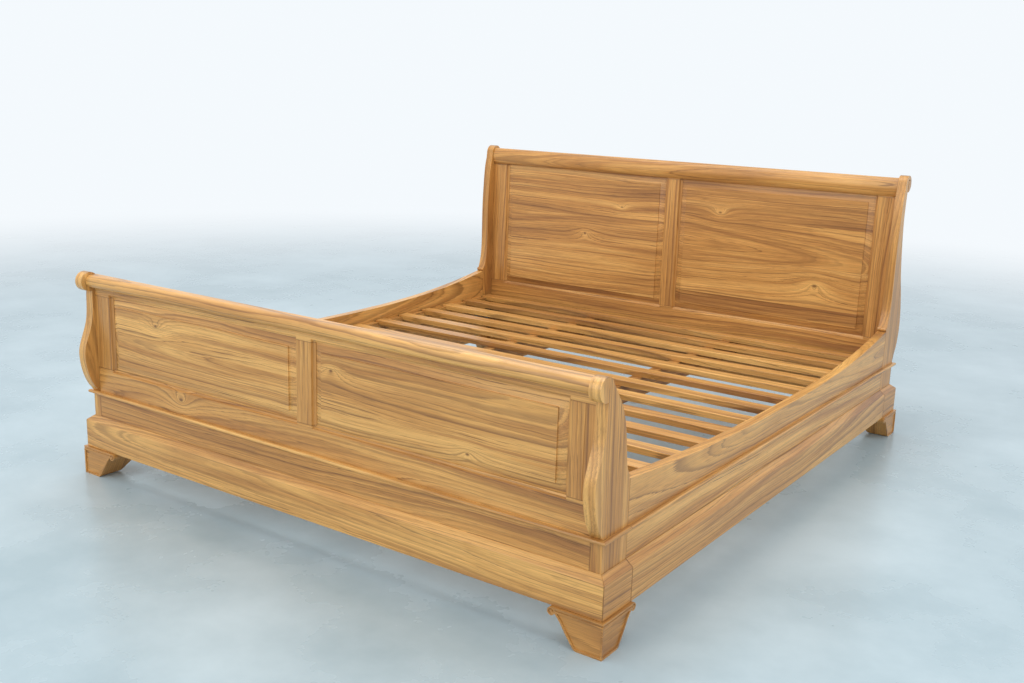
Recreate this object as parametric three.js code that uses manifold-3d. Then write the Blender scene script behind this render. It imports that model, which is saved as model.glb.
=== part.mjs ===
// A sleigh bed in solid teak for a 1.8 x 2.0 m mattress: two panelled ends with scrolled posts, two swept
// side rails, fourteen loose slats on ledgers and two lengthwise beams, a plinth all round and four bracket
// feet. Millimetres. X runs across the bed, +Y towards the head, +Z up; the origin is on the floor under
// the middle.
import * as THREE from "three";
import { mergeVertices } from "three/addons/utils/BufferGeometryUtils.js";
import { ConvexGeometry } from "three/addons/geometries/ConvexGeometry.js";
import Module from "manifold-3d";

const wasm = await Module();
wasm.setup();

// ---- driving dimensions ---------------------------------------------------------------------------------
const bedWidth = 1950; // over the plinths
const bedLength = 2226; // over the plinths
const fit = 0.3; // left between two pieces that touch

const footHeight = 92; // floor to the underside of the plinth
const footProud = 8; // how far a foot stands out past the plinth
const footSpread = 154; // top of a foot, along the plinth
const footSole = 68; // what of it stands on the floor
const footRound = 16; // radius of its lower inner corner
const footLean = 30; // degrees that its inner edge leans from upright
const footScroll = 10.5; // radius of the volute at its inner end
const footCap = 13; // band along its top, worked as two beads
const capGroove = { width: 2.2, depth: 2 }; // between the two beads
const footBorder = 5.5; // raised edge left round its sunk face
const footSunk = 3.5;
const volute = { inner: 4.2, outer: 7.2, depth: 3, from: 255, to: 545 }; // the cut that draws its spiral

const plinthHeight = 106;
const plinthThickness = 21;
const plinthWeather = 14; // fall of its sloping top
const waistHeight = 74; // plain board between the plinth and the bead
const waistThickness = 29;
const beadHeight = 10;
const beadProud = 13;
const beadMitreLap = 0.02; // the glued mitres of an end's bead make it one piece
const beadLap = 5; // how far the waist board rises behind the bead

const sideThickness = 32; // posts and side rails, which are flush inside and out
const footJoint = 134; // plinth face to the butt joint of post and side rail
const headJoint = 142;

const frameThickness = 26;
const stileWidth = 80; // with the narrow strip glued to its outer edge
const stripWidth = 30;
const stripLine = { width: 1.4, depth: 1.6 }; // the open joint between the two
const muntinWidth = 74;
const bottomRailTop = { foot: 362, head: 378 };
const crestBottom = { foot: 597, head: 917 };
const grooveDepth = 10; // for the panels' tongues
const tongueLength = 8;
const tongueThickness = 7;
const tongueSet = 12; // face of the frame to the front of the tongue
const fieldBorder = 25; // width of a panel's sloping margin
const fieldSet = 2; // face of the frame to the raised field
const fieldStep = 3; // sunk edge of the field
const stickingWidth = 9; // moulding worked on the frame's edges round a panel
const stickingStep = 1.5;

const scroll = { foot: { inset: 6, z: 641, radius: 30.5 }, head: { inset: 62, z: 969, radius: 31 } };
const footRoll = { inset: 9, z: 643, radius: 20 };
const crestTop = 989; // top of the headboard's crest rail
const crestBulge = 13; // how far it swells in front of the frame

const railTop = { foot: 400, middle: 356, head: 424 };
const railSweep = { foot: 2.3, head: 2.6 }; // how late each half of the rail's top starts to rise
const lip = 7; // rounded nosing of a post just over the rail

const slatCount = 14;
const slatWidth = 52;
const slatThickness = 20;
const slatTop = 310;
const slatEndGap = 8; // to the side rail
const slatFootGap = 92; // footboard to the first slat
const slatHeadGap = 30; // last slat to the headboard
const ledgerWidth = 28;
const ledgerHeight = 40;
const spacerHeight = 13; // the ledger stands up between the slats by this much
const spacerGap = 3;
const ledgerEndGap = 6;

const beamSpacing = 640; // between the two beams' middles
const beamWidth = 40;
const beamHeight = 68;
const tenon = { length: 20, width: 24, height: 30, drop: 24 };

const bracket = { height: 60, thickness: 3, bolt: 9, boltHeight: 5, edge: 18 };
const bracketEndGap = 6; // bracket to the board across the bed's end
const bracketUnder = 12; // ledger to the bracket

// ---- sizes that follow ----------------------------------------------------------------------------------
const halfWidth = bedWidth / 2;
const halfLength = bedLength / 2;
const plinthTop = footHeight + plinthHeight;
const waistTop = plinthTop + waistHeight + beadLap;
const beadBottom = plinthTop + waistHeight;
const beadTop = beadBottom + beadHeight;
const outerX = halfWidth - plinthThickness; // outer face of posts and side rails
const innerX = outerX - sideThickness; // inner face of posts and side rails
const slatBottom = slatTop - slatThickness;
const frameEndX = innerX - fit; // the ends' boards stop just short of the posts
const openingX = { inner: muntinWidth / 2, outer: frameEndX - stileWidth };

// The foot end's frame stands in the plane of the waist; the head end's stands just behind its waist board.
const ends = {
  foot: { side: -1, joint: footJoint, frameY: -halfLength + plinthThickness },
  head: {
    side: 1,
    joint: headJoint,
    frameY: halfLength - plinthThickness - waistThickness - fit - frameThickness,
  },
};
const sides = { left: -1, right: 1 };

// y of a point that lies a distance in from the plinth face of an end
const inFrom = (end, distance) => ends[end].side * (halfLength - distance);

// ---- materials ------------------------------------------------------------------------------------------
const teak = new THREE.MeshStandardMaterial({ color: 0xb9803f, roughness: 0.5, metalness: 0 });
const teakDark = new THREE.MeshStandardMaterial({ color: 0x9c6a34, roughness: 0.55, metalness: 0 });
const teakPale = new THREE.MeshStandardMaterial({ color: 0xc9985a, roughness: 0.55, metalness: 0 });
const slatTeak = new THREE.MeshStandardMaterial({ color: 0xd0a05c, roughness: 0.6, metalness: 0 });
const steel = new THREE.MeshStandardMaterial({ color: 0x9a9c9e, roughness: 0.35, metalness: 1 });

// ---- solids ---------------------------------------------------------------------------------------------
const bed = new THREE.Group();

function solid(geometry) {
  const bare = geometry.clone();
  for (const name of Object.keys(bare.attributes)) if (name !== "position") bare.deleteAttribute(name);
  const merged = mergeVertices(bare, 1e-4);
  return new wasm.Manifold(
    new wasm.Mesh({
      numProp: 3,
      vertProperties: new Float32Array(merged.attributes.position.array),
      triVerts: new Uint32Array(merged.index.array),
    }),
  );
}

function add(name, body, material) {
  const made = body.getMesh();
  const geometry = new THREE.BufferGeometry();
  const points = new Float32Array(made.numVert * 3);
  for (let i = 0; i < made.numVert; i++)
    for (let k = 0; k < 3; k++) points[3 * i + k] = made.vertProperties[i * made.numProp + k];
  geometry.setAttribute("position", new THREE.BufferAttribute(points, 3));
  geometry.setIndex(new THREE.BufferAttribute(made.triVerts, 1));
  geometry.computeVertexNormals();
  const mesh = new THREE.Mesh(geometry, material);
  mesh.name = name;
  bed.add(mesh);
}

// a straight board between two corners
function box(low, high) {
  const [x, y, z] = [0, 1, 2].map((k) => high[k] - low[k]);
  const geometry = new THREE.BoxGeometry(x, y, z);
  geometry.translate(low[0] + x / 2, low[1] + y / 2, low[2] + z / 2);
  return solid(geometry);
}

const X = new THREE.Vector3(1, 0, 0);
const Y = new THREE.Vector3(0, 1, 0);
const Z = new THREE.Vector3(0, 0, 1);

// an outline in (y, z) run along X, in (x, z) run along Y, or in (x, y) run along Z
function run(axis, outline, from, to) {
  const geometry = new THREE.ExtrudeGeometry(outline, {
    depth: to - from,
    bevelEnabled: false,
    curveSegments: 12,
  });
  const turn = new THREE.Matrix4();
  if (axis === "x") turn.makeBasis(Y, Z, X).setPosition(from, 0, 0);
  if (axis === "y") turn.makeBasis(X, Z, Y.clone().negate()).setPosition(0, to, 0);
  if (axis === "z") turn.setPosition(0, 0, from);
  geometry.applyMatrix4(turn);
  return solid(geometry);
}

function outlineOf(points) {
  return new THREE.Shape(points.map(([a, b]) => new THREE.Vector2(a, b)));
}

// a smooth curve through the given points, as points of an outline
function smooth(points, count) {
  const curve = new THREE.SplineCurve(points.map(([a, b]) => new THREE.Vector2(a, b)));
  return curve.getPoints(count).map((p) => [p.x, p.y]);
}

// an arc of an ellipse, in degrees, as points of an outline
function arc(cx, cy, rx, ry, from, to, count) {
  return Array.from({ length: count + 1 }, (_, i) => {
    const angle = ((from + ((to - from) * i) / count) * Math.PI) / 180;
    return [cx + rx * Math.cos(angle), cy + ry * Math.sin(angle)];
  });
}

// a slab of rectangular outline in the XZ plane whose front and back may differ in size
function frustum(front, back) {
  const corners = [front, back].flatMap(({ x0, x1, z0, z1, y }) => [
    new THREE.Vector3(x0, y, z0),
    new THREE.Vector3(x1, y, z0),
    new THREE.Vector3(x0, y, z1),
    new THREE.Vector3(x1, y, z1),
  ]);
  return solid(new ConvexGeometry(corners));
}

const grow = (o, by, y) => ({ x0: o.x0 - by, x1: o.x1 + by, z0: o.z0 - by, z1: o.z1 + by, y });

// ---- posts ----------------------------------------------------------------------------------------------
// height of the side rail's swept top at a given y: lowest amidships, rising to both ends
function railHeight(y) {
  const end = y < 0 ? "foot" : "head";
  const reach = halfLength - ends[end].joint;
  const share = Math.min(Math.abs(y) / reach, 1);
  return railTop.middle + (railTop[end] - railTop.middle) * share ** railSweep[end];
}

// A post is cut from one board. Its outline is listed as [distance in from the plinth face, height].
function footPostOutline() {
  const { inset, z, radius } = scroll.foot;
  const up = (t) => beadTop + t * (z - beadTop); // outer edge, from the bead to the scroll
  const back = (t) => railTop.foot + t * (z - railTop.foot); // inner edge, from the rail to the scroll
  return [
    [plinthThickness, footHeight + fit],
    [plinthThickness, beadTop],
    ...smooth(
      [[17, up(0.01)], [3, up(0.06)], [-11, up(0.14)], [-21, up(0.24)], [-25, up(0.345)], [-22, up(0.42)],
       [-12, up(0.5)], [-1, up(0.58)], [7, up(0.66)], [10.5, up(0.76)], [11.5, up(0.86)], [13, up(0.917)]],
      34,
    ),
    ...arc(inset, z, radius, radius, -84, -340, 26),
    ...smooth([[54, back(0.935)], [79, back(0.795)], [95, back(0.64)], [104, back(0.49)], [110, back(0.34)],
      [114.5, back(0.2)], [120, back(0.115)]], 16),
    [footJoint - 6, railTop.foot + 2 * lip],
    ...arc(footJoint - lip, railTop.foot + lip + fit, lip, lip, 70, -90, 6),
    [footJoint - fit / 2, railTop.foot],
    [footJoint - fit / 2, footHeight + fit],
  ];
}

function headPostOutline() {
  const { inset, z, radius } = scroll.head;
  const back = (t) => beadTop + t * (z - beadTop); // outer edge, from the bead to the scroll
  const front = (t) => railTop.head + t * (z - railTop.head); // inner edge, from the rail to the scroll
  const slot = { back: 60, front: 67, z: 8 }; // narrow cut that frees the scroll's tail from the neck
  return [
    [plinthThickness, footHeight + fit],
    [plinthThickness, beadTop],
    ...smooth(
      [[17, back(0.02)], [6, back(0.053)], [-9, back(0.088)], [-21, back(0.143)], [-25, back(0.204)],
       [-20, back(0.262)], [-11, back(0.321)], [8, back(0.408)], [24, back(0.467)], [42, back(0.555)],
       [58, back(0.665)], [68, back(0.752)], [72, back(0.82)], [71, back(0.885)], [69, back(0.93)],
       [slot.front, back(0.96)]],
      44,
    ),
    [slot.front, z + slot.z],
    ...arc(inset - 4, z + slot.z, 9, 9, 20, 130, 6),
    [inset - 14, z + slot.z + 4],
    ...arc(inset - 4, z + slot.z, 5, 5, 150, 40, 4),
    [slot.back, z],
    [slot.back, z - radius + 0.5],
    ...arc(inset, z, radius, radius, -100, -352, 26),
    ...smooth(
      [[96, front(0.955)], [104, front(0.9)], [110, front(0.82)], [114, front(0.72)], [118, front(0.6)],
       [119, front(0.46)], [118, front(0.32)], [118, front(0.22)], [122, front(0.13)], [130, front(0.065)]],
      22,
    ),
    [headJoint - 4, railTop.head + 2 * lip],
    ...arc(headJoint - 1, railTop.head + lip + fit, lip, lip, 70, -90, 6),
    [headJoint - fit / 2, railTop.head],
    [headJoint - fit / 2, footHeight + fit],
  ];
}

function postBody(end, side) {
  const outline = end === "foot" ? footPostOutline() : headPostOutline();
  const shape = outlineOf(outline.map(([distance, z]) => [inFrom(end, distance), z]));
  const faces = [side * innerX, side * outerX].sort((a, b) => a - b);
  return run("x", shape, ...faces);
}

// ---- framed ends ----------------------------------------------------------------------------------------
// the two panel openings of an end, seen from the front
function openings(end) {
  return Object.entries(sides).map(([name, side]) => {
    const [x0, x1] = [side * openingX.inner, side * openingX.outer].sort((a, b) => a - b);
    return { name, x0, x1, z0: bottomRailTop[end], z1: crestBottom[end] };
  });
}

// what the groove and the moulded edge round one opening take out of the frame's members
function openingCutters(end, opening) {
  const y = ends[end].frameY;
  const groove = grow(opening, grooveDepth, y + tongueSet - fit);
  const cutters = [frustum(groove, { ...groove, y: y + tongueSet + tongueThickness + fit })];
  const clear = 1; // past the face, so that the cut is clean
  const rows = [[stickingWidth, -clear], [stickingWidth, stickingStep]];
  const steps = 4;
  for (let i = 0; i <= steps; i++) {
    const angle = (i / steps) * (Math.PI / 2);
    const reach = (stickingWidth - stickingStep) * Math.cos(angle) + 0.01;
    rows.push([reach, stickingStep + (tongueSet - 2 * stickingStep) * Math.sin(angle)]);
  }
  for (let i = 1; i < rows.length; i++) {
    const [front, back] = [rows[i - 1], rows[i]];
    if (back[1] - front[1] < 0.001) continue;
    cutters.push(frustum(grow(opening, front[0], y + front[1]), grow(opening, back[0], y + back[1])));
  }
  return cutters;
}

function worked(end, body) {
  let cut = body;
  for (const opening of openings(end))
    for (const tool of openingCutters(end, opening)) cut = cut.subtract(tool);
  return cut;
}

function frameBox(end, x0, x1, z0, z1) {
  const y = ends[end].frameY;
  return box([x0, y, z0], [x1, y + frameThickness, z1]);
}

function addFrame(end) {
  const name = end + "board";
  const foot = end === "foot";
  const railBottom = foot ? waistTop + fit : plinthTop;
  const rail = frameBox(end, -frameEndX, frameEndX, railBottom, bottomRailTop[end]);
  let bottomRail = worked(end, rail);
  if (!foot) for (const pocket of beamPockets("head")) bottomRail = bottomRail.subtract(pocket);
  add(name + "_bottom_rail", bottomRail, teakDark);
  const z0 = bottomRailTop[end] + fit;
  const z1 = crestBottom[end] - fit;
  for (const [sideName, side] of Object.entries(sides)) {
    const [x0, x1] = [side * openingX.outer, side * frameEndX].sort((a, b) => a - b);
    const stile = worked(end, frameBox(end, x0, x1, z0, z1)).subtract(stripCutter(end, side, z0, z1));
    add(name + "_stile_" + sideName, stile, teak);
  }
  const half = muntinWidth / 2;
  add(name + "_muntin", worked(end, frameBox(end, -half, half, z0, z1)), teak);
  for (const opening of openings(end))
    add(name + "_panel_" + opening.name, panelBody(end, opening), teakPale);
  add(name + "_crest_rail", worked(end, foot ? footCrest() : headCrest()), teak);
}

// the line down the front of a stile where its outer strip joins it
function stripCutter(end, side, z0, z1) {
  const x = side * (frameEndX - stripWidth);
  const y = ends[end].frameY;
  const half = stripLine.width / 2;
  const bottom = y + stripLine.depth;
  const plan = outlineOf([[x - half, y - 1], [x + half, y - 1], [x + half, y], [x, bottom], [x - half, y]]);
  return run("z", plan, z0 - 1, z1 + 1);
}

// a raised and fielded panel, held by its tongues and free to move in the grooves
function panelBody(end, opening) {
  const y = ends[end].frameY;
  const tongue = grow(opening, tongueLength, y + tongueSet);
  const back = y + tongueSet + tongueThickness;
  const field = grow(opening, -fieldBorder, y + fieldSet);
  const margin = frustum(
    grow(opening, -fieldBorder, y + fieldSet + fieldStep),
    grow(opening, -1, y + tongueSet + 0.01),
  );
  return frustum(tongue, { ...tongue, y: back })
    .add(margin)
    .add(frustum(field, { ...field, y: back }));
}

// the footboard's crest: a roll in front, rounded over behind, with a hollow under the roll
function footCrest() {
  const front = ends.foot.frameY;
  const back = front + frameThickness;
  const middle = inFrom("foot", footRoll.inset);
  const { z, radius } = footRoll;
  const shape = outlineOf([
    [back, crestBottom.foot],
    ...arc(back - 20, z - radius + 18, 20, 22, 0, 90, 12),
    ...arc(middle, z, radius, radius, 90, 295, 30),
    ...arc(front - 1.5, crestBottom.foot + 14, 8, 8, 90, 0, 3).map(([y, h]) => [Math.min(y, front), h]),
    [front, crestBottom.foot],
  ]);
  return run("x", shape, -frameEndX, frameEndX);
}

// the headboard's crest: one full swelling from the panels up and over to the back
function headCrest() {
  const front = ends.head.frameY;
  const back = front + frameThickness;
  const half = (crestTop - crestBottom.head) / 2;
  const shape = outlineOf([
    [back, crestBottom.head],
    ...arc(back - 8, crestTop - half, 16, half, 0, 90, 8),
    ...arc(front + 8, crestTop - half, crestBulge + 8, half, 90, 250, 28),
    [front, crestBottom.head],
  ]);
  return run("x", shape, -frameEndX, frameEndX);
}

// ---- waist, bead and plinth -----------------------------------------------------------------------------
// mortises that the beams' tenons enter, in the board at an end
function beamPockets(end) {
  const front = end === "foot" ? ends.foot.frameY + waistThickness : ends.head.frameY;
  const inward = end === "foot" ? -1 : 1;
  const [y0, y1] = [front - inward, front + inward * (tenon.length + fit)].sort((a, b) => a - b);
  return [-1, 1].map((side) => {
    const x = (side * beamSpacing) / 2;
    const z = slatBottom - fit - tenon.drop;
    const half = tenon.width / 2 + fit;
    return box([x - half, y0, z - tenon.height - fit], [x + half, y1, z + fit]);
  });
}

function addWaist(end) {
  const outer = inFrom(end, plinthThickness);
  const inner = inFrom(end, plinthThickness + waistThickness);
  const [y0, y1] = [outer, inner].sort((a, b) => a - b);
  let board = box([-frameEndX, y0, footHeight + fit], [frameEndX, y1, waistTop]);
  if (end === "foot") for (const pocket of beamPockets("foot")) board = board.subtract(pocket);
  add(end + "_waist_board", board, teakDark);
}

// Section of the plinth and of the bead, as [distance out from the plinth's inner face, height].
function plinthSection() {
  const nose = 5;
  return [
    [fit, footHeight + fit],
    [plinthThickness, footHeight + fit],
    ...arc(plinthThickness - nose, plinthTop - plinthWeather - nose, nose, nose, 0, 60, 4),
    [fit, plinthTop],
  ];
}

function beadSection() {
  const half = beadHeight / 2;
  const nose = arc(beadProud - half, beadBottom + half, half, half, -90, 90, 8);
  return [[fit, beadBottom], ...nose, [fit, beadTop]];
}

// a run of moulding across an end, mitred at both corners
function crossRun(end, section) {
  const face = inFrom(end, plinthThickness);
  const side = ends[end].side;
  const shape = outlineOf(section.map(([out, z]) => [face + side * out, z]));
  const reach = 2 * plinthThickness;
  const plan = outlineOf([
    [-outerX + reach, face - side * reach],
    [outerX - reach, face - side * reach],
    [outerX + reach, face + side * reach],
    [-outerX - reach, face + side * reach],
  ]);
  return run("x", shape, -halfWidth, halfWidth).intersect(run("z", plan, 0, crestTop));
}

// the short run from the corner back to the side rail, mitred at the corner
function returnRun(end, side, section, gap) {
  const face = inFrom(end, plinthThickness);
  const out = ends[end].side;
  const shape = outlineOf(section.map(([reach, z]) => [side * (outerX + reach), z]));
  const joint = inFrom(end, ends[end].joint - fit / 2);
  const reach = 2 * plinthThickness;
  const plan = outlineOf([
    [side * (outerX - reach - gap), face - out * reach],
    [side * (outerX - reach - gap), joint],
    [side * (outerX + reach), joint],
    [side * (outerX + reach), face + out * (reach - gap)],
    [side * outerX, face - out * gap],
  ]);
  const [y0, y1] = [joint, inFrom(end, 0)].sort((a, b) => a - b);
  return run("y", shape, y0, y1).intersect(run("z", plan, 0, crestTop));
}

function addMouldings(end) {
  add(end + "_plinth", crossRun(end, plinthSection()), teak);
  let bead = crossRun(end, beadSection());
  for (const [sideName, side] of Object.entries(sides)) {
    add(end + "_plinth_return_" + sideName, returnRun(end, side, plinthSection(), fit), teak);
    bead = bead.add(returnRun(end, side, beadSection(), -beadMitreLap));
  }
  add(end + "_bead", bead, teakPale);
}

// ---- bracket feet ---------------------------------------------------------------------------------------
const footVolute = { d: footSpread - footScroll, z: footHeight - footScroll }; // its middle

// Elevation of a foot, as [distance in from its outer corner, height]. The inset is how far it is drawn in.
function footElevation(inset) {
  const lean = (footLean * Math.PI) / 180;
  const drawnIn = ([d, z]) => [d - inset * Math.cos(lean), z + inset * Math.sin(lean)];
  const radius = footRound - inset;
  const corner = arc(footSole, footRound, radius, radius, -90, -footLean, 5);
  const heel = [footSole + footRound * Math.cos(lean), footRound * (1 - Math.sin(lean))];
  const neck = arc(footVolute.d, footVolute.z, footScroll, footScroll, 200, 200, 1)[0];
  const edge = (t, sag) => [heel[0] + t * (neck[0] - heel[0]) - sag, heel[1] + t * (neck[1] - heel[1])];
  const low = [[inset, inset], ...corner];
  if (inset > 0) {
    const cap = footHeight - footCap;
    const top = [footVolute.d - footScroll - inset, cap];
    return [...low, drawnIn(edge(0.43, 0.5)), drawnIn(edge(0.78, 2.5)), top, [inset, cap]];
  }
  return [
    ...low,
    ...smooth([heel, edge(0.43, 0.5), edge(0.78, 2.5), neck], 6).slice(1, -1),
    ...arc(footVolute.d, footVolute.z, footScroll, footScroll, 200, 450, 20),
    [0, footHeight],
  ];
}

// the open ring that marks the volute on a face
function voluteOutline() {
  const { d, z } = footVolute;
  return [
    ...arc(d, z, volute.outer, volute.outer, volute.from, volute.to, 14),
    ...arc(d, z, volute.inner, volute.inner, volute.to, volute.from, 14),
  ];
}

// the groove between the two beads of the cap, from the corner to the volute
function capGrooveOutline() {
  const middle = footHeight - footCap / 2;
  const [low, high] = [middle - capGroove.width / 2, middle + capGroove.width / 2];
  const stop = footVolute.d - footScroll;
  return [[-footProud, low], [stop, low], [stop, high], [-footProud, high]];
}

// The block is cut to the same elevation both ways, then its two outer faces are sunk inside a raised edge.
function bracketFoot(end, side) {
  const out = ends[end].side;
  const x = (distance) => side * (halfWidth + footProud - distance);
  const y = (distance) => out * (halfLength + footProud - distance);
  const outward = 1; // the cutters start this far outside the faces
  const drawn = (points, place) => outlineOf(points.map(([d, z]) => [place(d), z]));
  const across = (points, ...range) => run("y", drawn(points, x), ...sorted(...range));
  const along = (points, ...range) => run("x", drawn(points, y), ...sorted(...range));
  let block = across(footElevation(0), y(0), y(footSpread)).intersect(
    along(footElevation(0), x(0), x(footSpread)),
  );
  for (const [outline, depth] of [
    [footElevation(footBorder), footSunk],
    [voluteOutline(), volute.depth],
    [capGrooveOutline(), capGroove.depth],
  ])
    block = block
      .subtract(across(outline, y(-outward), y(depth)))
      .subtract(along(outline, x(-outward), x(depth)));
  return block;
}

const sorted = (...values) => values.sort((a, b) => a - b);

// ---- side rails -----------------------------------------------------------------------------------------
const railStart = -halfLength + footJoint + fit / 2;
const railEnd = halfLength - headJoint - fit / 2;

function railBody(side) {
  const steps = 28;
  const top = Array.from({ length: steps + 1 }, (_, i) => {
    const y = railEnd + ((railStart - railEnd) * i) / steps;
    return [y, railHeight(y)];
  });
  const low = footHeight + fit;
  const shape = outlineOf([[railStart, low], [railEnd, low], ...top]);
  return run("x", shape, ...sorted(side * innerX, side * outerX));
}

function sideRun(side, section) {
  const shape = outlineOf(section.map(([out, z]) => [side * (outerX + out), z]));
  return run("y", shape, railStart, railEnd);
}

// ---- slats, ledgers and beams ---------------------------------------------------------------------------
const slatZone = {
  start: ends.foot.frameY + waistThickness + slatFootGap,
  end: ends.head.frameY - slatHeadGap,
};
const slatPitch = (slatZone.end - slatZone.start - slatWidth) / (slatCount - 1);
const slatY = (i) => slatZone.start + i * slatPitch; // front edge of slat i
const slatHalf = innerX - slatEndGap;

function slatBody(i) {
  return box([-slatHalf, slatY(i), slatBottom], [slatHalf, slatY(i) + slatWidth, slatTop]);
}

// A ledger carries the slats' ends and stands up between them, so that they can't creep.
function ledgerBody(side) {
  const top = slatBottom - fit;
  const low = top - ledgerHeight;
  const y0 = ends.foot.frameY + waistThickness + ledgerEndGap;
  const y1 = ends.head.frameY - ledgerEndGap;
  const teeth = [];
  for (let i = 0; i < slatCount - 1; i++)
    teeth.push([slatY(i) + slatWidth + spacerGap, slatY(i + 1) - spacerGap]);
  const outline = [[y0, low], [y1, low], [y1, top]];
  for (const [from, to] of teeth.reverse())
    outline.push([to, top], [to, top + spacerHeight], [from, top + spacerHeight], [from, top]);
  outline.push([y0, top]);
  return run("x", outlineOf(outline), ...sorted(side * (innerX - fit), side * (innerX - fit - ledgerWidth)));
}

function beamBody(side) {
  const x = (side * beamSpacing) / 2;
  const top = slatBottom - fit;
  const y0 = ends.foot.frameY + waistThickness + fit;
  const y1 = ends.head.frameY - fit;
  const beam = box([x - beamWidth / 2, y0, top - beamHeight], [x + beamWidth / 2, y1, top]);
  const half = tenon.width / 2;
  const z = top - tenon.drop;
  const reach = tenon.length - fit;
  return beam.add(box([x - half, y0 - reach, z - tenon.height], [x + half, y1 + reach, z]));
}

// ---- steel brackets -------------------------------------------------------------------------------------
// a flat steel plate inside each corner, bolted to the post and to the side rail across their joint
function bracketBody(end, side) {
  const joint = inFrom(end, ends[end].joint);
  const board = end === "foot" ? ends.foot.frameY + waistThickness : ends.head.frameY;
  const reach = Math.abs(board - joint) - bracketEndGap;
  const face = side * (innerX - fit);
  const top = slatBottom - fit - ledgerHeight - bracketUnder;
  const [x0, x1] = sorted(face, face - side * bracket.thickness);
  let body = box([x0, joint - reach, top - bracket.height], [x1, joint + reach, top]);
  for (const along of [-1, 1])
    for (const up of [-1, 1]) {
      const y = joint + along * (reach - bracket.edge);
      const z = top - bracket.height / 2 + up * (bracket.height / 2 - bracket.edge);
      const head = outlineOf(arc(y, z, bracket.bolt, bracket.bolt, 0, 300, 5));
      const inner = face - side * (bracket.thickness - 1);
      body = body.add(run("x", head, ...sorted(inner, inner - side * (bracket.boltHeight + 1))));
    }
  return body;
}

// ---- assembly -------------------------------------------------------------------------------------------
for (const end of Object.keys(ends)) {
  for (const [sideName, side] of Object.entries(sides)) {
    add(end + "_post_" + sideName, postBody(end, side), teak);
    add(end + "_bracket_foot_" + sideName, bracketFoot(end, side), teakDark);
    add("rail_bracket_" + end + "_" + sideName, bracketBody(end, side), steel);
  }
  addFrame(end);
  addWaist(end);
  addMouldings(end);
}
for (const [sideName, side] of Object.entries(sides)) {
  add("side_rail_" + sideName, railBody(side), teak);
  add("side_bead_" + sideName, sideRun(side, beadSection()), teakPale);
  add("side_plinth_" + sideName, sideRun(side, plinthSection()), teak);
  add("ledger_" + sideName, ledgerBody(side), teakDark);
  add("beam_" + sideName, beamBody(side), teakDark);
}
for (let i = 0; i < slatCount; i++)
  add("slat_" + String(i + 1).padStart(2, "0"), slatBody(i), slatTeak);

export default bed;
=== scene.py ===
import math
import random

import bpy
from mathutils import Matrix, Vector


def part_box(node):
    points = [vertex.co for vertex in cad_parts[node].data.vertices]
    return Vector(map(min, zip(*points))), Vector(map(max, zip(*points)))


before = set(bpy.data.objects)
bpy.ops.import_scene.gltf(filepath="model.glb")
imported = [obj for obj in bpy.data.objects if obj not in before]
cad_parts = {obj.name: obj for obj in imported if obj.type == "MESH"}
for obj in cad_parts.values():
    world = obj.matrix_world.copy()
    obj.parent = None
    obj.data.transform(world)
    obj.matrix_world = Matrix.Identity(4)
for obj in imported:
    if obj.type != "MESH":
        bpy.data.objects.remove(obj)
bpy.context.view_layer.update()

# ---- Camera ----------------------------------------------------------------------------------------------
# It stands off the right corner of the foot end, a little above the headboard, and is tipped very slightly.
# The view transform is the plain one, so that a surface shows the colour that it is given.
scene = bpy.context.scene
scene.view_settings.view_transform = "Standard"
AZIMUTH, ELEVATION, ROLL = (math.radians(angle) for angle in (34.721, 13.284, 1.848))
STANDPOINT = Vector((2.1158, -3.1589, 1.2986))
LENS, SENSOR = 39.006, 36.0  # mm

level = Vector((math.sin(AZIMUTH), -math.cos(AZIMUTH), 0))
back = math.cos(ELEVATION) * level + math.sin(ELEVATION) * Vector((0, 0, 1))
right = Vector((0, 0, 1)).cross(back).normalized()
up = back.cross(right)
tipped_right = math.cos(ROLL) * right + math.sin(ROLL) * up
tipped_up = math.cos(ROLL) * up - math.sin(ROLL) * right
camera_data = bpy.data.cameras.new("camera")
camera_data.lens, camera_data.sensor_width = LENS, SENSOR
camera = bpy.data.objects.new("camera", camera_data)
scene.collection.objects.link(camera)
turned = Matrix((tipped_right, tipped_up, back)).transposed().to_4x4()
camera.matrix_world = Matrix.Translation(STANDPOINT) @ turned
scene.camera = camera

# ---- Studio ----------------------------------------------------------------------------------------------
# A pale floor of sealed concrete, faintly clouded and half glossy, that whitens into the backdrop all round.
# The light is a white sky, a large soft lamp overhead, one beyond the foot end and a weaker one to the right.


def linear(hex_colour):
    """An sRGB hex value as the linear colour that a shader takes."""
    channels = [int(hex_colour[i : i + 2], 16) / 255 for i in (0, 2, 4)]
    return [c / 12.92 if c <= 0.04045 else ((c + 0.055) / 1.055) ** 2.4 for c in channels] + [1.0]


def add_node(tree, kind, inputs=None, stops=(), **settings):
    """Adds a shader node. A socket is linked to the socket, or set to the value, that it is given."""
    node = tree.nodes.new("ShaderNode" + kind)
    for name, value in settings.items():
        setattr(node, name, value)
    for key, value in (inputs or {}).items():
        if isinstance(value, bpy.types.NodeSocket):
            tree.links.new(value, node.inputs[key])
        else:
            node.inputs[key].default_value = value
    for i, (position, colour) in enumerate(stops):
        element = node.color_ramp.elements[i] if i < 2 else node.color_ramp.elements.new(position)
        element.position, element.color = position, linear(colour)
    return node


def start_material(name):
    """A new material with an empty tree, and the object's own coordinates in metres."""
    material = bpy.data.materials.new(name)
    material.use_nodes = True
    material.node_tree.nodes.clear()
    return material, material.node_tree, add_node(material.node_tree, "TexCoord").outputs["Object"]


BACKDROP, BACKDROP_LIGHT = "F1F6FA", 1.03
FLOOR_REACH = 40.0
WHITENS = (3.2, 7.5)  # metres from the bed's middle where the floor starts and ends turning white

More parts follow.
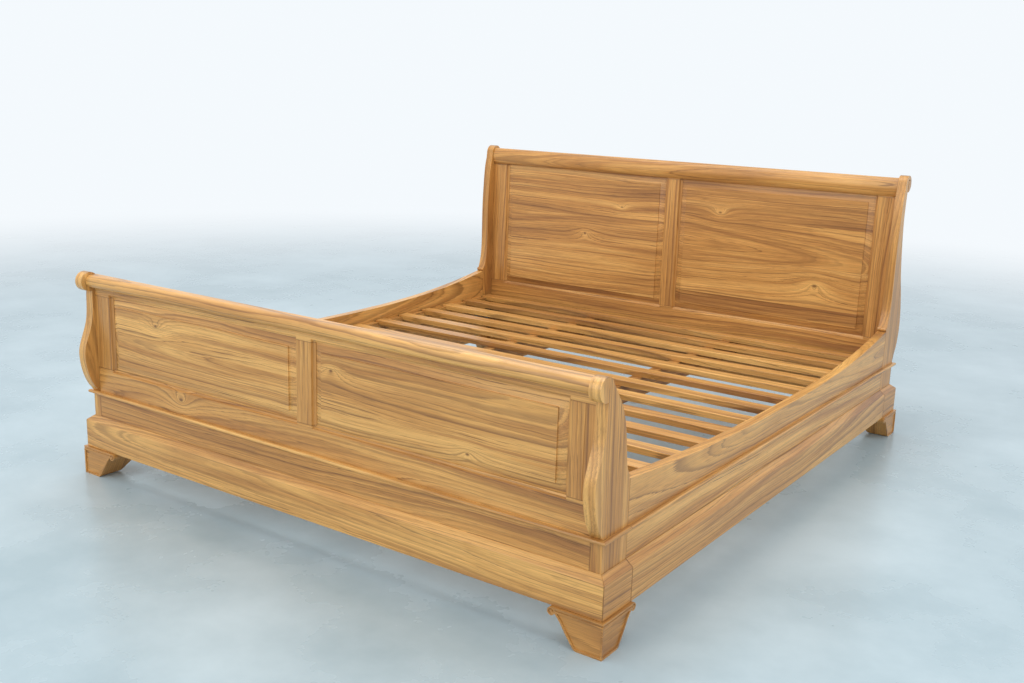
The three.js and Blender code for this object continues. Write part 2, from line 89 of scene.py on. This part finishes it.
concrete, tree, place = start_material("sealed_concrete")
cloud = add_node(tree, "TexNoise", {"Vector": place, "Scale": 1.3, "Detail": 6.0, "Roughness": 0.62})
colour = add_node(tree, "ValToRGB", {"Fac": cloud.outputs[0]}, [(0.34, "9FB2B9"), (0.66, "BACAD0")])
sheen = add_node(tree, "MapRange", {"Value": cloud.outputs[0], "To Min": 0.2, "To Max": 0.36})
near = add_node(tree, "BsdfPrincipled", {"Base Color": colour.outputs[0], "Roughness": sheen.outputs[0]})
far = add_node(tree, "Emission", {"Color": linear(BACKDROP), "Strength": BACKDROP_LIGHT})
reach = add_node(tree, "VectorMath", {0: place}, operation="LENGTH").outputs["Value"]
white = add_node(
    tree, "MapRange", {"Value": reach, "From Min": WHITENS[0], "From Max": WHITENS[1]},
    interpolation_type="SMOOTHSTEP",
)
both = add_node(tree, "MixShader", {0: white.outputs[0], 1: near.outputs[0], 2: far.outputs[0]})
add_node(tree, "OutputMaterial", {"Surface": both.outputs[0]})

mesh = bpy.data.meshes.new("floor")
corners = [(x * FLOOR_REACH, y * FLOOR_REACH, 0) for x, y in ((-1, -1), (1, -1), (1, 1), (-1, 1))]
mesh.from_pydata(corners, [], [(0, 1, 2, 3)])
mesh.materials.append(concrete)
floor = bpy.data.objects.new("floor", mesh)
scene.collection.objects.link(floor)

scene.world = bpy.data.worlds.new("studio")
scene.world.use_nodes = True
sky = scene.world.node_tree.nodes["Background"].inputs
sky["Color"].default_value = linear(BACKDROP)
sky["Strength"].default_value = BACKDROP_LIGHT

for name, spot, aim, size, power in (
    ("overhead_lamp", (-0.4, -0.2, 3.6), (0, 0, 0.2), 2.6, 54),
    ("front_lamp", (-0.8, -4.8, 2.6), (0, -1.0, 0.4), 2.8, 46),
    ("right_lamp", (4.2, -1.6, 2.6), (0.9, -0.4, 0.3), 2.4, 27),
):
    lamp = bpy.data.lights.new(name, "AREA")
    lamp.shape, lamp.size, lamp.energy = "SQUARE", size, power
    lamp_object = bpy.data.objects.new(name, lamp)
    lamp_object.location = spot
    lamp_object.rotation_euler = (Vector(aim) - Vector(spot)).to_track_quat("-Z", "Y").to_euler()
    scene.collection.objects.link(lamp_object)

# ---- Ends: posts, crests, rails, stiles and muntins --------------------------------------------------------
# Each end is a frame of teak rails, stiles and a muntin between two posts that are cut from one board each.
# The boards are plain sawn, planed, sanded and oiled. The saw cuts across the log's rings, so the face shows
# long pointed flames with straight streaks beside them, dark mineral lines and pores, under a satin sheen.
MM = 0.001
TEAK_DEEP, TEAK_MID, TEAK_PALE = "9A6632", "CB9049", "EEB667"
TEAK_LINE, TEAK_HEART = "643B1B", "955D2E"
RING = 9.0 * MM  # mean distance between two rings
FIBRE = 1.6 * MM  # across a streak of fibres
LATE = 0.95  # the share of a ring where its late wood ends
PORE = 0.7 * MM  # real pores are about 0.3 mm wide and wouldn't show
JOINT_SHADE_REACH = 3.5 * MM  # how far in from a board's end the painted shade of its joint reaches
GLUE_LINE = 0.8 * MM
STRIP_CONTRAST = 0.2  # how much the tone may differ between two glued strips
TAPER = 0.045  # a board never lies quite parallel to its log
FRAY, UNEVEN = 0.6, 3.2  # in rings: how far fibres fray a line, and how far the rings' widths wander
FIBRE_SHADE, PORE_SHADE = (0.77, 1.13), (0.7, 1.0)
RELIEF = 0.25 * MM  # full height of the relief, of which fibres and pores use a small share
SATIN = (0.36, 0.48)  # roughness of sanded and oiled teak

# A log's middle wanders in long slow waves with smaller ones on them. The numbers are waves in a metre along
# and across the board, and the last one carries one strip's grain clear of its neighbour's.
SLOW_WAVES, QUICK_WAVES = (0.8, 4.0, 60.0), (5.0, 13.0, 60.0)
SLOW_ASIDE, SLOW_BELOW, QUICK_ASIDE = 100 * MM, 90 * MM, 10 * MM
STRIPS_APART = 220 * MM  # how far apart in the log two glued strips were sawn


def mitred_place(tree, place, corner):
    """Coordinates that change over from X to Y grain at the mitres of a piece that turns a corner."""
    mirrored = add_node(tree, "VectorMath", {0: place}, operation="ABSOLUTE").outputs[0]
    inward = add_node(tree, "VectorMath", {0: corner, 1: mirrored}, operation="SUBTRACT").outputs[0]
    depth = add_node(tree, "SeparateXYZ", {0: inward}).outputs
    nearer = add_node(tree, "Math", {0: depth["X"], 1: depth["Y"]}, operation="LESS_THAN").outputs[0]
    plain = add_node(tree, "SeparateXYZ", {0: place}).outputs
    swapped = add_node(tree, "CombineXYZ", {"X": plain["Y"], "Y": plain["X"], "Z": plain["Z"]}).outputs[0]
    return add_node(tree, "Mix", {0: nearer, 4: place, 5: swapped}, data_type="VECTOR").outputs[1]


def log_radius(tree, along, width, depth, lots, beside, chance):
    """Distance of each point from the middle of the log, which wanders slowly beside and below the board."""
    stretch = add_node(tree, "CombineXYZ", {0: along, 1: width, 2: lots[0]}).outputs[0]
    shift = [chance.uniform(-50, 50) for _ in range(3)]
    slow = {0: stretch, 1: SLOW_WAVES, 2: shift}
    slow = add_node(tree, "VectorMath", slow, operation="MULTIPLY_ADD").outputs[0]
    sway = add_node(tree, "TexNoise", {"Vector": slow, "Scale": 1.0, "Detail": 1.5, "Roughness": 0.5})
    sway = add_node(tree, "SeparateXYZ", {0: sway.outputs["Color"]}).outputs
    quick = {0: stretch, 1: QUICK_WAVES, 2: shift}
    quick = add_node(tree, "VectorMath", quick, operation="MULTIPLY_ADD").outputs[0]
    ripple = add_node(tree, "TexNoise", {"Vector": quick, "Scale": 1.0, "Detail": 2.0}).outputs[0]

    aside = width
    for wander, amount in ((sway[0], SLOW_ASIDE), (ripple, QUICK_ASIDE), (lots[1], STRIPS_APART)):
        aside = {0: wander, 1: amount, 2: aside}
        aside = add_node(tree, "Math", aside, operation="MULTIPLY_ADD").outputs[0]
    aside = add_node(tree, "Math", {0: aside, 1: beside}, operation="SUBTRACT").outputs[0]
    below = add_node(tree, "Math", {0: sway[1], 1: SLOW_BELOW, 2: depth}, operation="MULTIPLY_ADD").outputs[0]
    taper = chance.choice((-TAPER, TAPER))
    below = add_node(tree, "Math", {0: along, 1: taper, 2: below}, operation="MULTIPLY_ADD").outputs[0]
    radius = add_node(tree, "CombineXYZ", {0: aside, 1: below, 2: 0.0}).outputs[0]
    return add_node(tree, "VectorMath", {0: radius}, operation="LENGTH").outputs["Value"]


KNOT_SWELL, KNOT_FADE = 7, 0.26  # how many times its size a knot pushes the rings, and how fast that fades
KNOT_PALE = 0.16  # how much paler the wood round it is


def bend_round_knots(tree, along, width, radius, knots):
    """Rings swell out round each knot, the wood there is pale, and the knot's own middle is dark."""
    heart, pale = 0.0, 0.0
    for knot_along, knot_across, size in knots:
        spot = add_node(tree, "CombineXYZ", {0: along, 1: width, 2: 0.0}).outputs[0]
        middle = (knot_along, knot_across, 0.0)
        spot = add_node(tree, "VectorMath", {0: spot, 1: middle}, operation="SUBTRACT").outputs[0]
        shape = (0.6 / size, 1 / size, 0.0)
        spot = add_node(tree, "VectorMath", {0: spot, 1: shape}, operation="MULTIPLY").outputs[0]
        reach = add_node(tree, "VectorMath", {0: spot}, operation="LENGTH").outputs["Value"]
        fall = add_node(tree, "Math", {0: reach, 1: -KNOT_FADE}, operation="MULTIPLY").outputs[0]
        swell = add_node(tree, "Math", {0: fall}, operation="EXPONENT").outputs[0]
        radius = {0: swell, 1: size * KNOT_SWELL, 2: radius}
        radius = add_node(tree, "Math", radius, operation="MULTIPLY_ADD").outputs[0]
        core = add_node(tree, "MapRange", {"Value": reach, "From Min": 0.35, "To Min": 0.8, "To Max": 0.0})
        heart = add_node(tree, "Math", {0: heart, 1: core.outputs[0]}, operation="MAXIMUM").outputs[0]
        pale = add_node(tree, "Math", {0: swell, 1: KNOT_PALE, 2: pale}, operation="MULTIPLY_ADD").outputs[0]
    return radius, heart, pale


def glued_strips(tree, width, glue_up, chance):
    """The number of the strip that a point lies in, and the thin dark line of glue between two strips."""
    step = {0: width, 1: 1 / glue_up, 2: chance.random()}
    step = add_node(tree, "Math", step, operation="MULTIPLY_ADD").outputs[0]
    strip = add_node(tree, "Math", {0: step}, operation="FLOOR").outputs[0]
    seam = add_node(tree, "Math", {0: step, 1: 0.5}, operation="PINGPONG").outputs[0]
    glue = {"Value": seam, "From Max": GLUE_LINE / glue_up, "To Min": 0.4, "To Max": 0.0}
    return strip, add_node(tree, "MapRange", glue).outputs[0]


def late_wood(tree, radius, streaks):
    """Counts the rings. Each has its own width and ends in a thin dark line of late wood that fibres fray."""
    count = add_node(tree, "Math", {0: radius, 1: RING}, operation="DIVIDE").outputs[0]
    count = add_node(tree, "Math", {0: streaks, 1: FRAY, 2: count}, operation="MULTIPLY_ADD").outputs[0]
    uneven = add_node(tree, "TexNoise", {"W": count, "Scale": 0.45, "Detail": 2.0}, noise_dimensions="1D")
    warped = {0: uneven.outputs[0], 1: UNEVEN, 2: count}
    warped = add_node(tree, "Math", warped, operation="MULTIPLY_ADD").outputs[0]
    phase = add_node(tree, "Math", {0: warped}, operation="FRACT").outputs[0]
    late = {"Value": phase, "From Min": 0.5, "From Max": LATE}
    late = add_node(tree, "MapRange", late, interpolation_type="SMOOTHSTEP").outputs[0]
    edge = add_node(tree, "MapRange", {"Value": phase, "From Min": LATE, "To Min": 1.0, "To Max": 0.0})
    late = add_node(tree, "Math", {0: late, 1: edge.outputs[0]}, operation="MULTIPLY").outputs[0]
    strong = add_node(tree, "TexNoise", {"W": warped, "Scale": 0.9, "Detail": 1.0}, noise_dimensions="1D")
    strong = {"Value": strong.outputs[0], "From Min": 0.36, "From Max": 0.7, "To Min": 0.1, "To Max": 0.7}
    strong = add_node(tree, "MapRange", strong).outputs[0]
    return count, add_node(tree, "Math", {0: late, 1: strong}, operation="MULTIPLY").outputs[0]


def heartwood(tree, count, along):
    """Broad brown streaks of heartwood, and a few thin dark mineral lines, both along the rings."""
    brown = add_node(tree, "CombineXYZ", {0: count, 1: along, 2: 3.0}).outputs[0]
    brown = add_node(tree, "VectorMath", {0: brown, 1: (0.42, 0.7, 1.0)}, operation="MULTIPLY").outputs[0]
    brown = add_node(tree, "TexNoise", {"Vector": brown, "Scale": 1.0, "Detail": 3.0, "Roughness": 0.5})
    brown = {"Value": brown.outputs[0], "From Min": 0.54, "From Max": 0.68, "To Max": 0.55}
    mineral = add_node(tree, "CombineXYZ", {0: count, 1: along, 2: 0.0}).outputs[0]
    mineral = add_node(tree, "VectorMath", {0: mineral, 1: (1.3, 1.6, 0.0)}, operation="MULTIPLY").outputs[0]
    mineral = add_node(tree, "TexNoise", {"Vector": mineral, "Scale": 1.0, "Detail": 3.0, "Roughness": 0.55})
    mineral = {"Value": mineral.outputs[0], "From Min": 0.63, "From Max": 0.7, "To Max": 0.7}
    return [add_node(tree, "MapRange", stain).outputs[0] for stain in (brown, mineral)]


def teak(
    name, grain, normal, low, high, seed, tone, beside=0.15, sapwood=0.0, glue_up=0.0, knots=(), corner=None
):
    """A board of teak between two corners, with its grain and its face's normal along the given axes.

    Tone lifts or lowers the board's colour. Beside is how far from the log's middle it was sawn: near it the
    face shows flames, and far from it straight lines. Sapwood is how much paler the board is towards its
    edge on the negative side. Glue_up is the width of the strips that a panel is glued from, each knot is
    (distance along the grain, distance across, size) from the board's centre, and corner is the outer
    corner that a mitred piece turns.
    """
    material, tree, place = start_material(name)
    centre = (low + high) / 2
    chance = random.Random(seed)
    if corner:
        place, centre = mitred_place(tree, place, corner), (0, 0, centre[2])
    across = ({"X", "Y", "Z"} - {grain, normal}).pop()
    moved = add_node(tree, "VectorMath", {0: place, 1: centre}, operation="SUBTRACT")
    axis = add_node(tree, "SeparateXYZ", {0: moved.outputs[0]}).outputs
    along, width, depth = axis[grain], axis[across], axis[normal]

    # a panel's strips come from different places in the log, and a thin dark line of glue lies between them
    strip, glue = glued_strips(tree, width, glue_up, chance) if glue_up else (0.0, 0.0)
    lot = add_node(tree, "TexWhiteNoise", {"W": strip}, noise_dimensions="1D")
    lots = add_node(tree, "SeparateXYZ", {0: lot.outputs["Color"]}).outputs
    radius = log_radius(tree, along, width, depth, lots, beside, chance)
    radius, heart, pale = bend_round_knots(tree, along, width, radius, knots)

    # painted shade: a board's last millimetres are darkened so that its joints show as dark lines, like the
    # shade in a joint
    painted_joint_shade = 0.0
    if not corner:
        half = getattr(high - low, grain.lower()) / 2
        painted_joint_shade = add_node(tree, "Math", {0: along}, operation="ABSOLUTE").outputs[0]
        painted_joint_shade = {"Value": painted_joint_shade, "From Min": half - JOINT_SHADE_REACH, "From Max": half, "To Max": 0.6}
        painted_joint_shade = add_node(tree, "MapRange", painted_joint_shade).outputs[0]

    # fibres and pores run dead straight along the grain
    fibre = add_node(tree, "CombineXYZ", {0: along, 1: width, 2: depth}).outputs[0]
    fibre = {0: fibre, 1: (3.0, 1 / FIBRE, 1 / FIBRE)}
    fibre = add_node(tree, "VectorMath", fibre, operation="MULTIPLY").outputs[0]
    streaks = add_node(tree, "TexNoise", {"Vector": fibre, "Scale": 0.45, "Detail": 4.0, "Roughness": 0.65})
    streaks = streaks.outputs[0]
    pores = {0: fibre, 1: (12.0, FIBRE / PORE, FIBRE / PORE)}
    pores = add_node(tree, "VectorMath", pores, operation="MULTIPLY").outputs[0]
    pores = add_node(tree, "TexNoise", {"Vector": pores, "Scale": 0.6, "Detail": 1.0}).outputs[0]

    count, line = late_wood(tree, radius, streaks)

    # tone drifts from ring to ring and along the board
    lift = add_node(tree, "CombineXYZ", {0: count, 1: along, 2: lots[2]}).outputs[0]
    lift = add_node(tree, "VectorMath", {0: lift, 1: (0.3, 1.2, 9.0)}, operation="MULTIPLY").outputs[0]
    lift = {"Vector": lift, "Scale": 1.0, "Detail": 4.0, "Roughness": 0.62}
    lift = add_node(tree, "TexNoise", lift).outputs[0]
    lot_share = STRIP_CONTRAST if glue_up else 0.0
    lift = add_node(tree, "Math", {0: lots[2], 1: lot_share, 2: lift}, operation="MULTIPLY_ADD").outputs[0]
    lift = add_node(tree, "Math", {0: lift, 1: tone - lot_share / 2}, operation="ADD").outputs[0]
    lift = add_node(tree, "Math", {0: lift, 1: pale}, operation="ADD").outputs[0]
    if sapwood:
        half_width = getattr(high - low, across.lower()) / 2
        outer = {"Value": width, "From Min": -half_width, "From Max": 0.0, "To Min": sapwood, "To Max": 0.0}
        outer = add_node(tree, "MapRange", outer, interpolation_type="SMOOTHSTEP").outputs[0]
        lift = add_node(tree, "Math", {0: lift, 1: outer}, operation="ADD").outputs[0]
    tones = [(0.24, TEAK_DEEP), (0.72, TEAK_PALE), (0.47, TEAK_MID)]
    wood = add_node(tree, "ValToRGB", {"Fac": lift}, tones).outputs[0]

    brown, mineral = heartwood(tree, count, along)
    wood = add_node(tree, "Mix", {0: brown, 6: wood, 7: linear(TEAK_HEART)}, data_type="RGBA").outputs[2]
    dark = line
    for other in (mineral, heart, glue, painted_joint_shade):
        dark = add_node(tree, "Math", {0: dark, 1: other}, operation="MAXIMUM").outputs[0]
    wood = add_node(tree, "Mix", {0: dark, 6: wood, 7: linear(TEAK_LINE)}, data_type="RGBA").outputs[2]

    shade = {"From Min": 0.3, "From Max": 0.7, "To Min": FIBRE_SHADE[0], "To Max": FIBRE_SHADE[1]}
    shade = add_node(tree, "MapRange", {"Value": streaks} | shade).outputs[0]
    pit = {"From Min": 0.28, "From Max": 0.42, "To Min": PORE_SHADE[0], "To Max": PORE_SHADE[1]}
    pit = add_node(tree, "MapRange", {"Value": pores} | pit).outputs[0]
    dim = add_node(tree, "Math", {0: shade, 1: pit}, operation="MULTIPLY").outputs[0]
    wood = add_node(tree, "VectorMath", {0: wood, "Scale": dim}, operation="SCALE").outputs[0]

    rough = {"Value": streaks, "From Min": 0.3, "From Max": 0.7, "To Min": SATIN[0], "To Max": SATIN[1]}
    rough = add_node(tree, "MapRange", rough).outputs[0]
    relief = add_node(tree, "Bump", {"Height": dim, "Strength": 0.22, "Distance": RELIEF}).outputs[0]
    surface = {"Base Color": wood, "Roughness": rough, "Normal": relief, "IOR": 1.48}
    surface |= {"Coat Weight": 0.3, "Coat Roughness": 0.2, "Coat IOR": 1.45}
    shader = add_node(tree, "BsdfPrincipled", surface)
    add_node(tree, "OutputMaterial", {"Surface": shader.outputs[0]})
    return material


boards = iter(range(1, 100))  # each board's own seed
SAME_POINT = 0.01 * MM
FLAT, SHARP = math.radians(0.5), math.radians(30)
SANDED, CRISP = 1.6 * MM, 0.6 * MM  # how far a handled edge and a moulded edge are rounded


def make_board(name, grain, normal, edge, tone=0.0, **figure):
    """Gives a board its own teak and eases its sharp edges, as sanding does."""
    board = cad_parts[name]
    low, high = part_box(name)
    board.data.materials.clear()
    wood = teak("oiled_teak_" + name, grain, normal, low, high, next(boards), tone, **figure)
    board.data.materials.append(wood)
    for face in board.data.polygons:
        face.use_smooth = True
    weld = board.modifiers.new("weld", "WELD")
    weld.merge_threshold = SAME_POINT
    flats = board.modifiers.new("whole_flats", "DECIMATE")
    flats.decimate_type, flats.angle_limit = "DISSOLVE", FLAT
    ease = board.modifiers.new("eased_edges", "BEVEL")
    ease.width, ease.segments, ease.limit_method, ease.angle_limit = edge, 2, "ANGLE", SHARP
    shading = board.modifiers.new("flat_faces_shade_flat", "WEIGHTED_NORMAL")
    shading.mode, shading.weight = "FACE_AREA", 100


for side in ("left", "right"):
    make_board("foot_post_" + side, "Z", "X", SANDED, -0.06, beside=0.01, sapwood=0.2)
    make_board("head_post_" + side, "Z", "X", SANDED, -0.03, beside=0.05)
for end in ("footboard", "headboard"):
    for side in ("left", "right"):
        make_board(f"{end}_stile_{side}", "Z", "Y", CRISP, -0.02, beside=0.02)
make_board("footboard_muntin", "Z", "Y", CRISP, 0.02, beside=0.2)
make_board("headboard_muntin", "Z", "Y", CRISP, -0.04, beside=0.2)
# the foot crest's pale tone is partly the wood and partly a painted highlight along the top of its roll
make_board("footboard_crest_rail", "X", "Y", CRISP, 0.1, beside=0.2)
make_board("headboard_crest_rail", "X", "Y", CRISP, 0.0, beside=0.08)
make_board("footboard_bottom_rail", "X", "Y", CRISP, 0.03, beside=0.05, knots=((-0.52, 0.01, 0.007),))
make_board("headboard_bottom_rail", "X", "Y", CRISP, -0.06, beside=0.05)

# ---- Panels ------------------------------------------------------------------------------------------------
# Raised and fielded panels, loose in their grooves. Each is glued up from strips of teak, two or three in the
# foot end and four or five in the head end, so colour and figure change from strip to strip.
# the head end's panels are darker than the foot end's: partly the boards' own tone, partly painted shade for
# the weaker light on the head end
for name, tone, beside, strip, knots in (
    ("footboard_panel_left", 0.07, 0.1, 0.14, ((-0.19, 0.06, 0.006),)),
    ("footboard_panel_right", 0.02, 0.2, 0.14, ((-0.34, 0.05, 0.005), (0.12, -0.08, 0.005))),
    ("headboard_panel_left", -0.05, 0.18, 0.16, ((0.02, 0.0, 0.006), (0.2, 0.13, 0.004))),
    ("headboard_panel_right", -0.06, 0.12, 0.16, ((0.2, -0.1, 0.009), (-0.22, 0.15, 0.006))),
):
    make_board(name, "X", "Y", CRISP, tone, beside=beside, glue_up=strip, knots=knots)

# ---- Base --------------------------------------------------------------------------------------------------
# A waist board crosses each end above the plinth. Beads and plinths turn the corners in mitres, and so do the
# four bracket feet, which have a sunk face and a small volute at each inner end.
for end in ("foot", "head"):
    make_board(end + "_waist_board", "X", "Y", SANDED, -0.02, beside=0.06)
    make_board(end + "_plinth", "X", "Y", SANDED, 0.11, beside=0.12)
    bead_low, bead_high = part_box(end + "_bead")
    bead_corner = (bead_high.x, max(abs(bead_low.y), abs(bead_high.y)), 0.0)
    make_board(end + "_bead", "X", "Z", CRISP, 0.08, corner=bead_corner)
    for side in ("left", "right"):
        make_board(f"{end}_plinth_return_{side}", "Y", "X", SANDED, -0.02)
        foot_low, foot_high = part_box(f"{end}_bracket_foot_{side}")
        foot_corner = [max(abs(foot_low[i]), abs(foot_high[i])) for i in (0, 1)] + [0.0]
        make_board(f"{end}_bracket_foot_{side}", "X", "Y", CRISP, -0.05, corner=foot_corner)

# ---- Sides and bed base ------------------------------------------------------------------------------------
# Swept side rails with their beads and plinths. Inside them the ledgers and the two beams carry fourteen
# loose slats, which are sawn from offcuts of every tone and planed.
for side in ("left", "right"):
    make_board("side_rail_" + side, "Y", "X", SANDED, 0.08, beside=0.2)
    make_board("side_bead_" + side, "Y", "Z", CRISP, 0.08)
    make_board("side_plinth_" + side, "Y", "X", SANDED, 0.03)
    # the ledgers' and beams' dark tones are painted shade, for where they lie under the slats
    make_board("ledger_" + side, "Y", "X", CRISP, -0.1)
    make_board("beam_" + side, "Y", "X", SANDED, -0.18)
offcuts = random.Random(14)
for number in range(1, 15):
    make_board(f"slat_{number:02d}", "X", "Z", SANDED, offcuts.uniform(-0.13, 0.16))

# ---- Corner fittings ---------------------------------------------------------------------------------------
# A flat plate of rolled mild steel inside each corner, bolted through. Rolling leaves faint lengthwise marks.
ROLL_MARKS = (900.0, 30.0, 900.0)  # in a metre: they are about 1 mm wide and 33 mm long

steel, tree, place = start_material("rolled_mild_steel")
drawn = add_node(tree, "VectorMath", {0: place, 1: ROLL_MARKS}, operation="MULTIPLY").outputs[0]
marks = add_node(tree, "TexNoise", {"Vector": drawn, "Scale": 1.0, "Detail": 3.0}).outputs[0]
colour = add_node(tree, "ValToRGB", {"Fac": marks}, [(0.3, "8D8F90"), (0.7, "B9BBBC")]).outputs[0]
rough = add_node(tree, "MapRange", {"Value": marks, "To Min": 0.28, "To Max": 0.5}).outputs[0]
shader = add_node(tree, "BsdfPrincipled", {"Base Color": colour, "Roughness": rough, "Metallic": 1.0})
add_node(tree, "OutputMaterial", {"Surface": shader.outputs[0]})
for end in ("foot", "head"):
    for side in ("left", "right"):
        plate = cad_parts[f"rail_bracket_{end}_{side}"]
        plate.data.materials.clear()
        plate.data.materials.append(steel)
